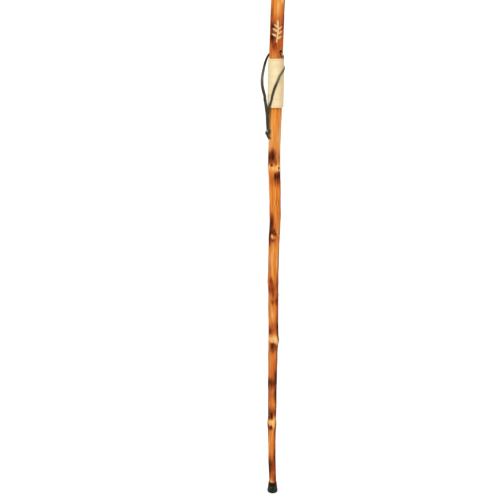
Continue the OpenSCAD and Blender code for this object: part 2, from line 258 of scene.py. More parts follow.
def sweep(bm, frames, width, thick, swell=None):
    """Extrudes a flat section with rounded edges through the frames and closes both ends."""
    ring = bmesh.ops.create_circle(bm, segments=SECTION_SIDES, radius=1)["verts"]
    for vert in ring:
        x, y = vert.co.x, vert.co.y
        vert.co.x = math.copysign(abs(x) ** ACROSS_POWER, x) * width / 2
        vert.co.y = math.copysign(abs(y) ** THROUGH_POWER, y) * thick / 2
    bmesh.ops.transform(bm, matrix=frames[0], verts=ring)
    edges = [e for e in bm.edges if e.verts[0] in ring and e.verts[1] in ring]
    first = list(edges)
    for i in range(1, len(frames)):
        made = bmesh.ops.extrude_edge_only(bm, edges=edges)["geom"]
        edges = only(made, bmesh.types.BMEdge)
        ring = only(made, bmesh.types.BMVert)
        scale = Matrix.Identity(4)
        if swell is not None:
            scale = Matrix.Scale(swell[i] / swell[i - 1], 4)
        bmesh.ops.transform(bm, matrix=frames[i] @ scale @ frames[i - 1].inverted(), verts=ring)
    for loop in (first, edges):
        bmesh.ops.contextual_create(bm, geom=loop)
    bmesh.ops.recalc_face_normals(bm, faces=bm.faces)


print("a lace section has", SECTION_SIDES, "sides")

# %% [markdown]
# ## Oiled lace leather
# Lace leather is cowhide, tanned with oil, dyed dark and cut in strips: a near-black olive brown with a
# dull shine on its grain side and paler where the edges rub. It is painted paler still as a painted
# highlight where the strands pass the sleeve, at the mouth of the hole and on the crown of the knot. Its
# grain is finer than the picture can show, so its wrinkles are drawn about 2 mm apart.

# %% Lace leather
MOTTLE, WRINKLE = 9 * MM, 2 * MM
# Sockets of a Mix node that mixes colours: its factor, the colour under and the one over it, its result
FACTOR, UNDER, OVER, MIXED = 0, 6, 7, 2


def new_material(name):
    """A material with a node tree, that tree and its shader."""
    material = bpy.data.materials.new(name)
    material.use_nodes = True
    return material, material.node_tree, material.node_tree.nodes["Principled BSDF"]


def lace_leather():
    material, tree, shader = new_material("oiled_lace_leather")
    place = add(tree, "TexCoord").outputs["Object"]
    mottle = add(tree, "TexNoise", {"Vector": place}, scale=1 / MOTTLE, detail=3.0)
    wrinkle = add(tree, "TexNoise", {"Vector": place}, scale=1 / WRINKLE, detail=2.0)
    rubbed_and_highlight = add(tree, "Attribute", attribute_name="rubbed_and_highlight")
    bare = add(tree, "Attribute", attribute_name="bare")
    colour = srgb("#2b2315")
    # Mottle, then edge wear together with a painted highlight, then a paler painted highlight
    for coat, code in ((mottle, "#4a402c"), (rubbed_and_highlight, "#7d7760"), (bare, "#bfb49c")):
        colour = add(tree, "Mix", {FACTOR: coat.outputs["Fac"], UNDER: colour, OVER: srgb(code)},
                     data_type="RGBA").outputs[MIXED]
    bump = add(tree, "Bump", {"Height": wrinkle.outputs["Fac"]}, strength=0.5, distance=0.2 * MM)
    wire(tree, shader, {"Base Color": colour, "Normal": bump.outputs["Normal"], "Roughness": 0.45,
                        "Specular IOR Level": 0.1})
    return material


LACE_LEATHER = lace_leather()
print("material:", LACE_LEATHER.name)

# %% [markdown]
# Both strands run straight through the knot, and the lace is drawn tight round them. One band climbs
# round the strands like a collar, with its ends tucked under. The last turn crosses it slantwise in
# front, as in any overhand knot. Its crown is painted pale on the outer side, as a painted highlight.

# %% Overhand knot
# The knot is laid out in millimetres from the hole's middle, as the route is
KNOT_MIDDLE = (-20.5, -13.9)
KNOT_OVAL = 0.9
KNOT_LACE_SHARE = 0.9
BAND_POINTS = 60
TUCK_POWER = 8
# The painted highlight on the knot's crown: its height from the hole and its reach, how far past the knot's
# middle it spreads, and its strength
CROWN_HEIGHT, CROWN_REACH, CROWN_SPREAD = -199.5, 3, 1
CROWN_HIGHLIGHT = 0.9
# Turns of a band: first bearing, turns, lower and upper height from the hole, radius, depth of the tucks
KNOT_BANDS = [(223, 1.5, -209.2, -200, 4.6, 1.6), (176, 0.53, -209.6, -199.4, 6, 2.4)]


def points_of(piece):
    """The points of a piece's mesh as an array."""
    return np.array([vert.co for vert in piece.data.vertices])


def mark(piece, name, values):
    """Gives each of a piece's points a value that its material can read."""
    layer = piece.data.attributes.new(name, "FLOAT", "POINT")
    layer.data.foreach_set("value", np.clip(values, 0, 1).astype(np.float32))


def dress(piece, material, body, node):
    """Gives a rigid piece its material and slot, the body it rides on and the node it stands for."""
    piece.data.materials.append(material)
    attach(piece, body)
    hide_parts(node)
    print(piece.name, "has", len(piece.data.polygons), "faces and wears", material.name)


bm = bmesh.new()
for first, turns, low, high, radius, tuck in KNOT_BANDS:
    t = np.linspace(0, 1, BAND_POINTS)
    bearing = np.radians(first) + 2 * math.pi * turns * t
    arm = radius - tuck * np.abs(2 * t - 1) ** TUCK_POWER
    outward = np.stack([np.cos(bearing), np.sin(bearing), 0 * t], 1)
    path = np.stack([KNOT_MIDDLE[0] + arm * outward[:, 0], KNOT_MIDDLE[1] + KNOT_OVAL * arm * outward[:, 1],
                     low + (high - low) * t], 1) * MM + HOLE_MIDDLE
    sweep(bm, frames_along(path, outward), KNOT_LACE_SHARE * LACE_WIDTH, KNOT_LACE_SHARE * LACE_THICK)
knot = finish_piece(bm, "thong_overhand_knot")
spots = (points_of(knot) - HOLE_MIDDLE) / MM
# The crown's outer side gets the painted highlight
crown = np.exp(-((spots[:, 2] - CROWN_HEIGHT) / CROWN_REACH) ** 2)
mark(knot, "bare", CROWN_HIGHLIGHT * crown * (spots[:, 0] < KNOT_MIDDLE[0] + CROWN_SPREAD))
dress(knot, LACE_LEATHER, "thong_loop", "thong_knot")

# %% [markdown]
# Each strand is one unbroken piece, from the middle of the hole to its loose end below the knot.

# %% The two strands
# Edge wear starts at this share of the lace's half width. A painted highlight at the sleeve's height has its
# strength, height and reach, and one at the hole's mouth its strength, drop and reach
RUB_SHARE = 0.7
HAND_HIGHLIGHT, HIGHLIGHT_HEIGHT, HIGHLIGHT_REACH = 0.75, 1200 * MM, 20 * MM
HOLE_HIGHLIGHT, HOLE_HIGHLIGHT_DROP, HOLE_HIGHLIGHT_REACH = 0.9, 6 * MM, 3.5 * MM
# No lace is cut quite evenly: how much it swells, how fast from ring to ring, and where that starts
SWELLS = [(0.03, 0.31, 0.0), (0.02, 0.83, 1.1)]
# The left strand was cut wider towards the knot, which draws it in again, all measured down from the hole
LEFT_EXTRA = 0.32
WIDER_FROM, WIDER_OVER = 30 * MM, 70 * MM
DRAWN_IN_AT, DRAWN_IN_OVER = 198 * MM, 15 * MM


def lace_strand(name, route, stood_for, extra=0.0, hole_highlight=0.0):
    """One strand from the middle of the hole to its loose end, whose length is printed."""
    path, faces = smooth_route(route, RING_STEP)
    drop = HOLE_MIDDLE[2] - path[:, 2]
    swell = np.ones(len(path))
    for share, rate, start in SWELLS:
        swell += share * np.sin(np.arange(len(path)) * rate + start)
    widening = np.minimum((drop - WIDER_FROM) / WIDER_OVER, (DRAWN_IN_AT - drop) / DRAWN_IN_OVER)
    swell += extra * np.clip(widening, 0, 1)
    bm = bmesh.new()
    sweep(bm, frames_along(path, faces), LACE_WIDTH, LACE_THICK, swell)
    strand = finish_piece(bm, name)
    spots = points_of(strand)
    away = np.array([np.linalg.norm(path - s, axis=1) for s in spots])
    half_width = swell[away.argmin(1)] * LACE_WIDTH / 2
    edge_wear = np.clip(away.min(1) / half_width - RUB_SHARE, 0, 1)
    # A painted highlight on the strands at the sleeve's height, mixed with the edge wear
    hand_highlight = HAND_HIGHLIGHT * np.exp(-((spots[:, 2] - HIGHLIGHT_HEIGHT) / HIGHLIGHT_REACH) ** 2)
    # A painted highlight on the lace just below the hole's mouth
    below_hole = HOLE_MIDDLE[2] - HOLE_HIGHLIGHT_DROP - spots[:, 2]
    mark(strand, "rubbed_and_highlight", np.maximum(edge_wear, hand_highlight))
    mark(strand, "bare", hole_highlight * np.exp(-(below_hole / HOLE_HIGHLIGHT_REACH) ** 2))
    strand.data.materials.append(LACE_LEATHER)
    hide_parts(*stood_for)
    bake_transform(strand)
    drawn = np.linalg.norm(np.diff(path, axis=0), axis=1).sum()
    print(name, "is", round(drawn, 3), "m long,", len(strand.data.polygons), "faces")


lace_strand("thong_left_strand", LEFT_ROUTE,
            ["thong_in_hole", "thong_left_upper", "thong_left_lower"], extra=LEFT_EXTRA)
lace_strand("thong_right_strand", RIGHT_ROUTE,
            ["thong_right_upper", "thong_right_lower", "thong_tails"], hole_highlight=HOLE_HIGHLIGHT)

# %% [markdown]
# ## The limb
# The wood is where the eye goes first. The frame's shaft has its taper, its wander and its swellings as
# rings of 24 points. A round section is a short sum of waves, so the rings are read as waves, which
# gives a smooth limb at any height and bearing, and the picture's limb can never drift from the frame's.

# %% Read the limb's rings
SIDES = 24
# The head's rounded end takes up the uppermost rings, and is drawn anew with the skin
CROWN_RINGS = 4
# Points count as one level within this tolerance, and as a new ring from this rise on
HEIGHT_DIGITS = 5
LEVEL_TOLERANCE, LEAST_RISE = 0.02 * MM, 0.1 * MM
waves = np.fft.fftfreq(SIDES, 1 / SIDES)
ferrule_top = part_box("ferrule")[1].z

shaft = frame["nodes"]["shaft"]
points = points_of(shaft)
ring_heights, ring_waves = [], []
for height in np.unique(np.round(points[:, 2], HEIGHT_DIGITS)):
    level = points[np.abs(points[:, 2] - height) < LEVEL_TOLERANCE]
    if height < ferrule_top or (ring_heights and height - ring_heights[-1] < LEAST_RISE):
        continue
    middle = (level.min(0) + level.max(0)) / 2
    arms = (level[:, 0] - middle[0]) + 1j * (level[:, 1] - middle[1])
    side = np.round(np.angle(arms) / (2 * math.pi) * SIDES) % SIDES
    found = [arms[side == k] for k in range(SIDES)]
    if min(len(f) for f in found) == 0:
        continue
    outline = np.array([f[np.argmax(np.abs(f))] for f in found])
    ring_heights.append(height)
    ring_waves.append(np.fft.fft(outline + middle[0] + 1j * middle[1]) / SIDES)
ring_heights = np.array(ring_heights[:-CROWN_RINGS])
ring_waves = np.array(ring_waves[:-CROWN_RINGS])
print("limb:", len(ring_heights), "rings from", ring_heights[0], "to", ring_heights[-1], "m")

# %% [markdown]
# The skin is one sheet of quads, rolled round the limb and closed at both ends. Its rows lie closer
# together where there is carving or a knot, and its columns at the front, so that the detail has points
# to work with and the plain stretches stay light.

# %% Rows and columns of the skin
COLUMNS = 128
FRONT_CROWDING = 0.5
PLAIN_STEP = 3 * MM
KNOT_STEP = 1.1 * MM
CARVED_STEP = 0.42 * MM
CARVING_MIDDLE = 1310 * MM
CARVING_REACH = 31 * MM
KNOT_REACH = 16 * MM
WHORLS = [956 * MM, 770 * MM, 475 * MM, 219 * MM]
# Half the head's width, the rows round its edge, and the rings on its end as shares of the limb's width
HEAD_RADIUS = 18 * MM
HEAD_ROWS = 9
END_SHARES = (0.5, 0.34, 0.17, 0.0)
head_top = cad_high.z
round_start = ring_heights[-1]
head_round = head_top - round_start
tip_low, tip_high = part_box("ferrule_washer")
tip_radius = (tip_high.x - tip_low.x) / 2
shoulder_radius = abs(ring_waves[0][1])


def row_step(height):
    """How far the next row lies above this height."""
    if abs(height - CARVING_MIDDLE) < CARVING_REACH:
        return CARVED_STEP
    if min(abs(height - w) for w in WHORLS) < KNOT_REACH:
        return KNOT_STEP
    return PLAIN_STEP


# Each row: the height whose ring it takes, its own height, and its share of that ring's width
tip_share = tip_radius / shoulder_radius
rows = [(ring_heights[0], tip_high.z, 0.0), (ring_heights[0], tip_high.z, tip_share),
        (ring_heights[0], ring_heights[0], tip_share)]
height = ring_heights[0]
while height < round_start:
    rows.append((height, height, 1.0))
    height += row_step(height)
for angle in np.linspace(0, math.pi / 2, HEAD_ROWS):
    inset = head_round * (1 - math.cos(angle)) / HEAD_RADIUS
    rows.append((round_start, round_start + head_round * math.sin(angle), 1 - inset))
for share in END_SHARES:
    rows.append((round_start, head_top, share))
rows = np.array(rows)
turn = np.arange(COLUMNS + 1) / COLUMNS
bearings = 2 * math.pi * turn - FRONT_CROWDING * np.sin(2 * math.pi * turn) - math.pi / 2
print("skin:", len(rows), "rows by", COLUMNS, "columns")

# %% [markdown]
# ## Knots and carving
# A knot stands up as a low collar round a sunken eye. The carving is a sprig: a groove for the stem, and
# leaves that are each two chips, cut through the scorched skin into the pale wood. Both are real hollows
# in the skin, because a shadow painted on a flat surface gives itself away from the side.

# %% Carved sprig and knot eyes
STEM_HALF = 1.7
GROOVE_DEPTH = 1 * MM
FRONT_BEARING = -90
LEAF_WIDTH_SHARE = 0.34
LEAF_TAPER = 0.8
LEAST_HALF = 1e-6
# Each leaf in millimetres: its foot across and up from the carving's middle, its lean in degrees, its length
LEAVES = [
    (1.6, 13, 94, 16), (0.4, -20, 28, 18), (1.8, -8, 32, 18), (2.4, 3, 38, 16),
    (0.8, -14, 153, 18), (2.2, -2, 149, 18), (2.4, 8, 141, 15),
]
# The stem bows to one side: how far, through how many radians, its foot, its length and its points
STEM_BOW, STEM_SWEEP, STEM_FOOT, STEM_LENGTH, STEM_POINTS = 2.6, 2.4, -27, 42, 12
STEM = [(STEM_BOW * math.sin(t * STEM_SWEEP), STEM_FOOT + STEM_LENGTH * t)
        for t in np.linspace(0, 1, STEM_POINTS)]
# Height, bearing and size of each knot's eye, in millimetres and degrees
KNOT_EYES = [
    (957, -48, 5.0), (771, -119, 5.2), (476, -76, 3.5), (221, -72, 4.5), (864, -82, 2.6), (775, -42, 3.0),
    (953, 70, 5.0), (957, 165, 4.0), (767, 60, 5.0), (641, 120, 4.0), (474, 100, 5.0), (472, 10, 4.0),
    (216, 150, 4.5), (220, 40, 4.0), (601, 20, 3.0), (343, 75, 3.6), (100, 110, 3.2),
]


def stem_depth(x, z):
    """Depth share of the round-bottomed groove along the stem, for points on the unrolled wood."""
    nearest = np.full(x.shape, np.inf)
    for (x0, z0), (x1, z1) in zip(STEM, STEM[1:]):
        run, rise = x1 - x0, z1 - z0
        t = np.clip(((x - x0) * run + (z - z0) * rise) / (run * run + rise * rise), 0, 1)
        nearest = np.minimum(nearest, np.hypot(x - x0 - t * run, z - z0 - t * rise))
    return np.clip(1 - (nearest / STEM_HALF) ** 2, 0, 1)


def leaf_depth(x, z, foot_x, foot_z, lean, length):
    """Depth share of one leaf, cut as two chips either side of its midrib."""
    a = math.radians(lean)
    along = ((x - foot_x) * math.cos(a) + (z - foot_z) * math.sin(a)) / length
    across = (z - foot_z) * math.cos(a) - (x - foot_x) * math.sin(a)
    half = LEAF_WIDTH_SHARE * length / 2 * np.sin(math.pi * np.clip(along, 0, 1) ** LEAF_TAPER)
    side = np.abs(across) / np.maximum(half, LEAST_HALF)
    return np.where(side < 1, 1 - np.abs(2 * side - 1), 0)


def wrapped(degrees):
    """The same bearings, counted from -180 to 180."""
    return (degrees + 180) % 360 - 180


def carved_depth(reach, degrees, heights):
    """Depth share of the whole sprig, at distances from the limb's heart, bearings and heights."""
    x = reach / MM * np.radians(wrapped(degrees - FRONT_BEARING))
    z = (heights - CARVING_MIDDLE) / MM
    depth = stem_depth(x, z)
    for leaf in LEAVES:
        depth = np.maximum(depth, leaf_depth(x, z, *leaf))
    return depth


print("sprig:", len(LEAVES), "leaves on a stem;", len(KNOT_EYES), "knot eyes")

# %% Roll the skin round the limb
UNDULATION = 0.22 * MM
# Each wave: its share, how many go round, how fast it turns in radians per metre of height, its start
UNDULATION_WAVES = [(1, 3, 31, 0), (1, 5, -47, 1), (0.7, 8, 90, 2)]
COLLAR_RISE = 0.9 * MM
EYE_DEPTH = 0.8 * MM
# How far a collar and an eye spread, in knot sizes, and a share that draws a knot out lengthwise
COLLAR_SPREAD, EYE_SPREAD, EYE_SQUEEZE = 0.45, 0.55, 0.8
FOOT_MARGIN = 1 * MM
MERGE_DISTANCE = 0.001 * MM
LIMB_SHARP = 60


def waves_over(table, around, heights):
    """Sum of a table of waves at the bearings and heights given."""
    return sum(share * np.sin(count * around + rate * heights + start) for share, count, rate, start in table)


wave_rows = through(ring_heights, ring_waves, rows[:, 0])
middle = wave_rows[:, :1]
arm = wave_rows @ np.exp(1j * np.outer(waves, bearings)) - middle
reach = np.abs(arm)
z_grid, b_grid = np.meshgrid(rows[:, 1], bearings, indexing="ij")
b_degrees = np.degrees(b_grid)
shift = UNDULATION * waves_over(UNDULATION_WAVES, b_grid, z_grid)
for eye_height, eye_bearing, size in KNOT_EYES:
    across = reach * np.radians(wrapped(b_degrees - eye_bearing))
    away = np.hypot(across, (z_grid - eye_height * MM) * EYE_SQUEEZE) / (size * MM)
    collar = COLLAR_RISE * np.exp(-((away - 1) / COLLAR_SPREAD) ** 2)
    shift += collar - EYE_DEPTH * np.exp(-(away / EYE_SPREAD) ** 2)
shift -= GROOVE_DEPTH * carved_depth(reach, b_degrees, z_grid)
shift[rows[:, 1] < ring_heights[0] + FOOT_MARGIN] = 0
shift[rows[:, 1] > round_start] = 0
spot = middle + arm * (rows[:, 2:] + shift / reach)

bm = bmesh.new()
bmesh.ops.create_grid(bm, x_segments=COLUMNS, y_segments=len(rows) - 1, size=0.5)
for vert in bm.verts:
    column = round((vert.co.x + 0.5) * COLUMNS)
    row = round((vert.co.y + 0.5) * (len(rows) - 1))
    vert.co = (spot[row, column].real, spot[row, column].imag, rows[row, 1])
bmesh.ops.remove_doubles(bm, verts=bm.verts, dist=MERGE_DISTANCE)
bmesh.ops.recalc_face_normals(bm, faces=bm.faces)
limb = finish_piece(bm, "scorched_limb", sharp_degrees=LIMB_SHARP)
print("limb skin:", len(limb.data.vertices), "vertices,", len(limb.data.polygons), "faces")

# %% [markdown]
# The lace hole goes right through. A drill leaves a clean edge, so a Boolean with a cylinder cuts it, and
# the result replaces the mesh.

# %% Drill the lace hole
HOLE_DIAMETER = 8 * MM
DRILL_LENGTH, DRILL_SIDES = 60 * MM, 48
drill_direction = Vector(RIGHT_ROUTE[2][:3]).normalized()
bm = bmesh.new()
bmesh.ops.create_cone(bm, cap_ends=True, segments=DRILL_SIDES, radius1=HOLE_DIAMETER / 2,
                      radius2=HOLE_DIAMETER / 2, depth=DRILL_LENGTH)
drill_turn = drill_direction.to_track_quat("Z", "Y").to_matrix().to_4x4()
bmesh.ops.transform(bm, matrix=Matrix.Translation(Vector(HOLE_MIDDLE)) @ drill_turn, verts=bm.verts)
drill = finish_piece(bm, "drill")
cut = limb.modifiers.new("lace_hole", "BOOLEAN")
cut.object = drill
cut.solver = "MANIFOLD"
drilled = bpy.data.meshes.new_from_object(limb.evaluated_get(bpy.context.evaluated_depsgraph_get()))
limb.modifiers.clear()
limb.data = drilled
bpy.data.objects.remove(drill)
print("drilled:", len(limb.data.vertices), "vertices")

# %% [markdown]
# ## Scorch, blush, pale wood and painted shade
# The maker plays a flame over the stripped limb. Above and below each whorl the wood chars, the heat
# blushes the wood round it red, and the hard wood of the knots stays pale, but for the dark spots in it.
# The char and blush tables also hold painted shade down the limb's sides and two painted shadows, and the
# pale table holds one painted highlight. Each table below is one of these, in millimetres and degrees:
# height and bearing, how far it reaches up and down, half its width, and its strength.

# %% Where the flame went
# Besides scorch, the broad patches down the limb's sides, at bearings near 0 and 180 degrees, are painted
# shade; the patch at 1248 mm is a painted shadow of the lace where it leaves the hole, and the one at 1114 mm
# a painted shadow under the sleeve's lower edge
CHAR_AND_SHADE = [
    (1352, -150, 22, 24, 26, 0.28), (1343, -14, 14, 13, 22, 0.85), (1374, -10, 22, 20, 24, 0.5),
    (1322, -132, 11, 10, 30, 0.85), (1295, -130, 16, 16, 30, 0.9), (1320, -40, 10, 12, 20, 0.5),
    (1273, -104, 10, 12, 20, 0.55), (1248, -45, 5, 6, 18, 0.55), (986, -107, 20, 15, 24, 0.95),
    (984, -148, 15, 17, 28, 0.75), (973, -76, 6, 8, 9, 0.5), (984, -38, 18, 14, 26, 0.25),
    (937, -80, 8, 10, 13, 0.75), (932, -84, 8, 22, 8, 0.7), (939, -34, 7, 16, 26, 0.95),
    (936, -60, 8, 12, 17, 0.7), (930, -95, 8, 14, 8, 0.35), (922, -52, 10, 16, 18, 0.3),
    (863, -52, 12, 12, 6, 0.3), (806, -138, 28, 26, 34, 0.72), (800, -120, 26, 24, 12, 0.35),
    (783, -106, 8, 5, 26, 0.75), (779, -154, 26, 28, 24, 1.0), (777, -84, 5, 6, 16, 0.8),
    (761, -108, 4, 7, 30, 0.5), (815, -20, 30, 30, 18, 0.12), (757, -152, 10, 10, 20, 0.5),
    (714, -68, 18, 16, 7, 0.22), (677, -74, 18, 18, 6, 0.22), (648, -116, 12, 13, 20, 0.52),
    (637, -98, 9, 9, 15, 0.42), (622, -138, 11, 11, 18, 0.55), (621, -98, 11, 12, 20, 0.58),
    (607, -96, 8, 8, 16, 0.35), (640, -40, 20, 20, 20, 0.25), (614, -32, 14, 20, 16, 0.3),
    (589, -52, 9, 13, 22, 0.66), (586, -105, 9, 9, 20, 0.48), (610, -12, 60, 60, 32, 0.35),
    (508, -24, 28, 26, 30, 0.95), (545, -20, 30, 30, 28, 0.5), (497, -130, 16, 7, 30, 0.6),
    (496, -164, 14, 8, 16, 0.8), (462, -108, 5, 12, 22, 0.75), (458, -80, 6, 18, 30, 0.55),
    (456, -20, 12, 16, 26, 0.85), (483, -16, 10, 14, 18, 0.6), (447, -100, 8, 14, 24, 0.4),
    (345, -150, 12, 14, 26, 0.85), (345, -107, 14, 17, 20, 0.7), (343, -78, 12, 10, 22, 0.55),
    (348, -48, 15, 12, 22, 0.55), (338, -20, 40, 50, 24, 0.8), (366, -45, 15, 18, 26, 0.85),
    (318, -44, 20, 22, 26, 0.75), (301, -34, 14, 14, 24, 0.8), (300, -164, 50, 60, 28, 0.75),
    (241, -98, 12, 8, 18, 0.95), (254, -100, 14, 12, 50, 0.4), (248, -160, 16, 14, 24, 0.85),
    (239, -134, 7, 6, 24, 0.6), (207, -101, 6, 8, 16, 0.85), (207, -142, 6, 8, 30, 0.7),
    (200, -26, 16, 40, 30, 0.75), (250, -32, 10, 10, 26, 0.5), (200, -166, 36, 30, 24, 0.65),
    (112, -38, 26, 26, 28, 0.8), (80, -150, 30, 32, 32, 0.92), (88, -110, 22, 24, 40, 0.62),
    (44, -42, 16, 12, 30, 0.75), (78, -58, 20, 14, 24, 0.3), (982, 82, 24, 14, 44, 0.95),
    (985, 150, 20, 14, 34, 0.8), (932, 118, 9, 24, 38, 0.85), (794, 58, 40, 15, 30, 0.85),
    (753, 104, 8, 22, 40, 0.7), (656, 126, 24, 13, 34, 0.6), (596, 30, 14, 12, 24, 0.6),
    (499, 96, 24, 12, 44, 0.9), (453, 146, 8, 22, 40, 0.75), (345, 66, 16, 16, 60, 0.75),
    (243, 140, 18, 12, 44, 0.85), (201, 72, 8, 18, 40, 0.8), (98, 96, 26, 26, 52, 0.75),
    (1322, 98, 34, 28, 56, 0.6), (700, -8, 60, 40, 34, 0.4), (700, -176, 50, 50, 28, 0.2),
    (672, -166, 14, 14, 22, 0.5), (560, -176, 60, 50, 28, 0.45), (420, -12, 40, 50, 36, 0.5),
    (410, -176, 60, 50, 28, 0.45), (270, -12, 40, 40, 36, 0.5), (160, -12, 50, 50, 36, 0.5),
    (160, -178, 40, 40, 22, 0.1), (860, -6, 60, 50, 30, 0.15), (1114, -90, 3, 4, 110, 0.3),
]
SPOTS = [
    (965, -116, 5, 4.5, 14, 0.75), (957, -46, 3.2, 3.2, 8, 1.0), (864, -82, 4, 6, 5, 0.4),
    (777, -40, 3, 3, 8, 0.6), (475, -86, 2.6, 2.6, 5, 0.4), (953, 70, 2.6, 2.6, 8, 0.8),
    (957, 165, 2.4, 2.4, 8, 0.8), (767, 60, 2.6, 2.6, 9, 0.8), (474, 100, 2.6, 2.6, 10, 0.8),
    (216, 150, 2.6, 2.6, 12, 0.8), (220, 40, 2.4, 2.4, 12, 0.7), (641, 120, 2.2, 2.2, 8, 0.7),
]
# Besides the heat's blush, the long patches down the limb's sides, at bearings near 0 and 180 degrees, are
# painted shade
BLUSH_AND_SHADE = [
    (1350, -150, 30, 40, 40, 0.5), (1334, -85, 14, 14, 90, 0.45), (1300, -85, 40, 40, 80, 0.75),
    (1265, -90, 20, 22, 70, 0.6), (1345, -20, 40, 40, 34, 0.6), (998, -95, 10, 14, 60, 0.6),
    (975, -50, 14, 10, 26, 0.5), (930, -60, 18, 20, 36, 0.85), (928, -116, 16, 22, 30, 0.65),
    (795, -100, 40, 30, 26, 0.5), (757, -108, 8, 14, 40, 0.6), (800, -40, 30, 30, 30, 0.15),
    (770, -52, 6, 8, 14, 0.6), (870, -10, 60, 60, 40, 0.55), (845, -162, 30, 30, 22, 0.45),
    (700, -10, 60, 60, 36, 0.7), (700, -172, 60, 60, 24, 0.35), (560, -8, 60, 60, 40, 0.85),
    (400, -10, 70, 80, 40, 0.85), (390, -174, 80, 60, 26, 0.6), (560, -174, 60, 50, 24, 0.55),
    (860, -174, 60, 50, 20, 0.35), (140, -12, 60, 60, 34, 0.85), (150, -174, 50, 60, 24, 0.2),
    (620, -90, 34, 44, 70, 0.8), (520, -84, 14, 22, 34, 0.7), (504, -100, 20, 14, 60, 0.8),
    (452, -90, 12, 30, 55, 0.6), (385, -80, 50, 40, 80, 0.35), (330, -95, 50, 40, 80, 0.5),
    (304, -95, 12, 12, 30, 0.6), (255, -90, 20, 14, 70, 0.75), (190, -60, 20, 30, 40, 0.3),
    (85, -85, 36, 40, 90, 0.95), (44, -82, 14, 8, 34, 0.6), (966, -92, 5, 5, 10, 0.7),
    (957, -91, 6, 6, 6, 0.4), (957, -120, 6, 6, 7, 0.4), (960, 110, 50, 50, 70, 0.6),
    (770, 80, 60, 50, 60, 0.55), (620, 80, 60, 50, 80, 0.5), (475, 110, 60, 50, 70, 0.6),
    (345, 60, 40, 40, 80, 0.6), (220, 100, 50, 40, 80, 0.6), (1310, 90, 60, 50, 80, 0.55),
]
# Besides the pale hard wood, the long narrow streak at the head, at 1368 mm, is a painted highlight
PALE_AND_HIGHLIGHT = [
    (957, -52, 7, 6, 23, 1.0), (956, -103, 4.5, 4.5, 9, 0.6), (958, -145, 8, 8, 18, 0.55),
    (956, -90, 7, 7, 80, 0.15), (771, -119, 5, 5, 15, 0.85), (774, -40, 4, 4, 10, 0.6),
    (782, -62, 4, 4, 8, 0.4), (476, -70, 9, 8, 30, 1.0), (475, -128, 7, 8, 40, 0.48),
    (464, -48, 10, 10, 10, 0.85), (223, -140, 7, 7, 34, 0.5), (224, -82, 8, 7, 24, 0.9),
    (234, -40, 9, 8, 18, 0.6), (212, -62, 10, 10, 18, 0.6), (1387, -52, 8, 8, 16, 0.6),
    (1368, -88, 26, 22, 10, 0.45), (863, -98, 5, 5, 6, 0.3), (862, -65, 5, 5, 6, 0.35),
    (550, -103, 16, 16, 14, 0.35), (715, -104, 50, 50, 10, 0.25), (700, -55, 40, 40, 8, 0.25),
    (35, -118, 6, 6, 24, 0.3), (316, -150, 12, 12, 18, 0.3), (1035, -152, 50, 45, 34, 0.6),
    (1035, -30, 50, 45, 34, 0.55), (800, -52, 20, 16, 14, 0.2), (705, -134, 24, 20, 16, 0.2),
    (150, -122, 30, 30, 20, 0.14), (956, 12, 8, 8, 36, 0.7), (957, 165, 8, 8, 36, 0.8),
    (475, 12, 9, 9, 36, 0.4), (475, 165, 8, 8, 34, 0.75), (221, 10, 9, 9, 36, 0.75),
    (220, 172, 8, 8, 34, 0.75), (953, 100, 10, 10, 60, 0.8), (766, 60, 9, 9, 28, 0.9),
    (472, 80, 10, 10, 80, 0.8), (216, 100, 10, 10, 80, 0.85), (640, 120, 8, 8, 20, 0.7),
    (341, 75, 7, 7, 18, 0.6),
]
# How far the flame's fingers reach, and their waves round the limb, in the form of the undulation's
FINGER = 1.2 * MM
FLICKER_WAVES = [(1, 9, 40, 0), (0.7, 17, 0, 1.7), (0.5, 31, 0, 0.6)]
PALE_FINGER_SHARE = 0.4
# Hard wood, where the pale cover passes the first value, resists the flame by up to the last
HARD_FROM, HARD_OVER, HARD_RESIST = 0.35, 0.4, 0.85
HOLE_RIM = 0.8 * MM
CARVED_GAIN = 2.2
END_GRAIN_DEPTH = 0.3 * MM


def cover(table, heights, degrees):
    """How strongly the patches of a table cover each point, from 0 to 1."""
    clear = np.ones_like(heights)
    for patch_height, patch_bearing, up, down, half_width, strength in table:
        climb = heights - patch_height * MM
        u = np.where(climb > 0, climb / (up * MM), climb / (down * MM))
        v = wrapped(degrees - patch_bearing) / half_width
        clear *= 1 - strength * np.exp(-(u * u + v * v))
    return 1 - clear


skin = points_of(limb)
heart = through(ring_heights, ring_waves[:, :1], np.clip(skin[:, 2], ring_heights[0], round_start))[:, 0]
outward = skin[:, 0] + 1j * skin[:, 1] - heart
around = np.angle(outward)
degrees = np.degrees(around)
licked = skin[:, 2] + FINGER * waves_over(FLICKER_WAVES, around, skin[:, 2])
from_hole = np.linalg.norm(np.cross(skin - HOLE_MIDDLE, np.array(drill_direction)), axis=1)
in_hole = np.clip((HOLE_DIAMETER / 2 + HOLE_RIM - from_hole) / HOLE_RIM, 0, 1)
in_hole *= np.abs(skin[:, 2] - HOLE_MIDDLE[2]) < HOLE_DIAMETER
pale_and_highlight = cover(PALE_AND_HIGHLIGHT, skin[:, 2] + PALE_FINGER_SHARE * (licked - skin[:, 2]), degrees)
hard_wood = np.clip((pale_and_highlight - HARD_FROM) / HARD_OVER, 0, 1)
scorched_and_shaded = cover(CHAR_AND_SHADE, licked, degrees) * (1 - HARD_RESIST * hard_wood)
